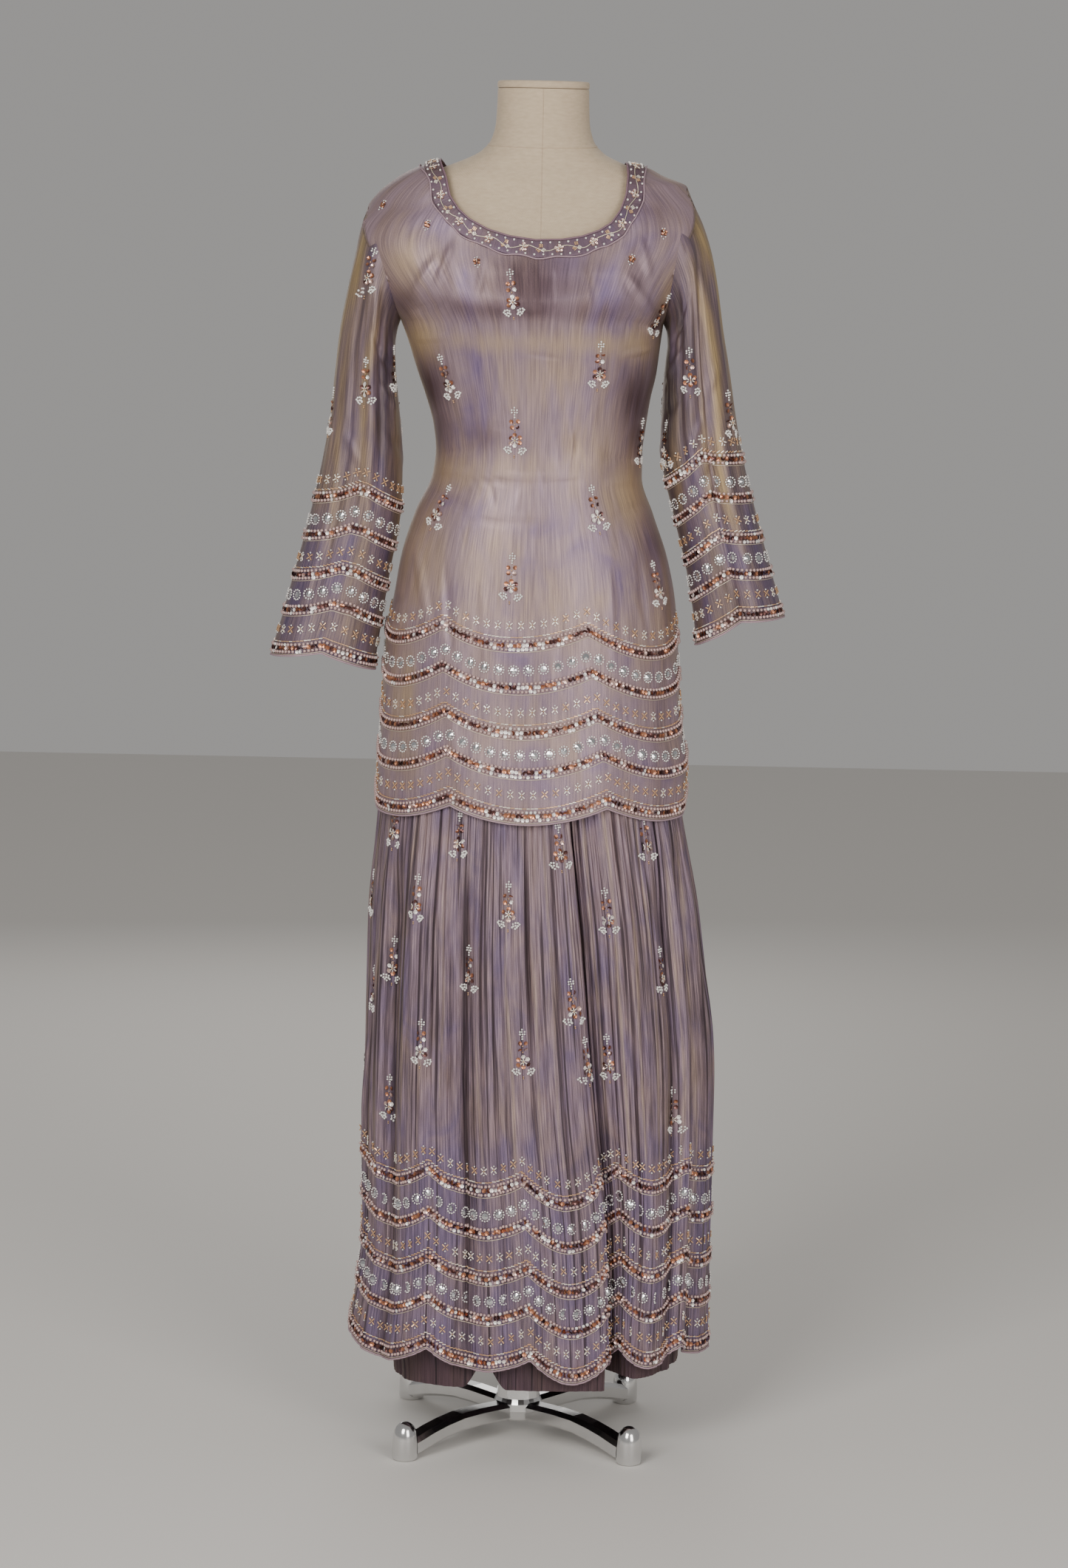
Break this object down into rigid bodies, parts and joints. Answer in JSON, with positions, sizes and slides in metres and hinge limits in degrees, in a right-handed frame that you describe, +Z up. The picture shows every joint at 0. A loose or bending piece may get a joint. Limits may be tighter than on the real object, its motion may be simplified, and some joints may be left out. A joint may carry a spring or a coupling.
{
  "type": "sharara suit on a limbless dress form",
  "caption": "Long-sleeved tunic with scalloped borders over flared trousers, worn on a limbless dress form with a pole and a cast four-foot base.",
  "frame": {"origin": "on the floor, under the pole in the middle of the base", "axes": "+Z up, the front of the suit faces -Y, the wearer's left is +X"},
  "size_m": [0.597, 0.2993, 1.597],
  "materials": {
    "silk": "satin shot tissue silk, mauve against gold",
    "crinkled_silk": "crinkled shot tissue silk",
    "neck_band": "satin band",
    "lining": "plain woven lining",
    "linen": "woven linen cover",
    "pole_metal": "polished tube",
    "cast_metal": "polished casting",
    "sequins": "rose gold sequins",
    "copper_sequins": "copper sequins",
    "beads": "white seed beads and pearls",
    "rose_beads": "rose seed beads",
    "mirrors": "small round mirrors",
    "bugles": "copper and champagne bugle beads",
    "zari": "metal thread"
  },
  "bodies": {
    "root": {"kurti_front": "silk", "kurti_back": "silk", "sleeve_right": "silk", "sleeve_left": "silk", "neck_band": "neck_band", "leg_right": "crinkled_silk", "leg_left": "crinkled_silk", "hip_yoke": "crinkled_silk", "waistband": "crinkled_silk", "lining_right": "lining", "lining_left": "lining", "form_body": "linen", "neck_cap": "linen", "pole": "pole_metal", "base_casting": "cast_metal", "foot_front_right": "cast_metal", "foot_front_left": "cast_metal", "foot_back_left": "cast_metal", "foot_back_right": "cast_metal"}
  },
  "joints": []
}
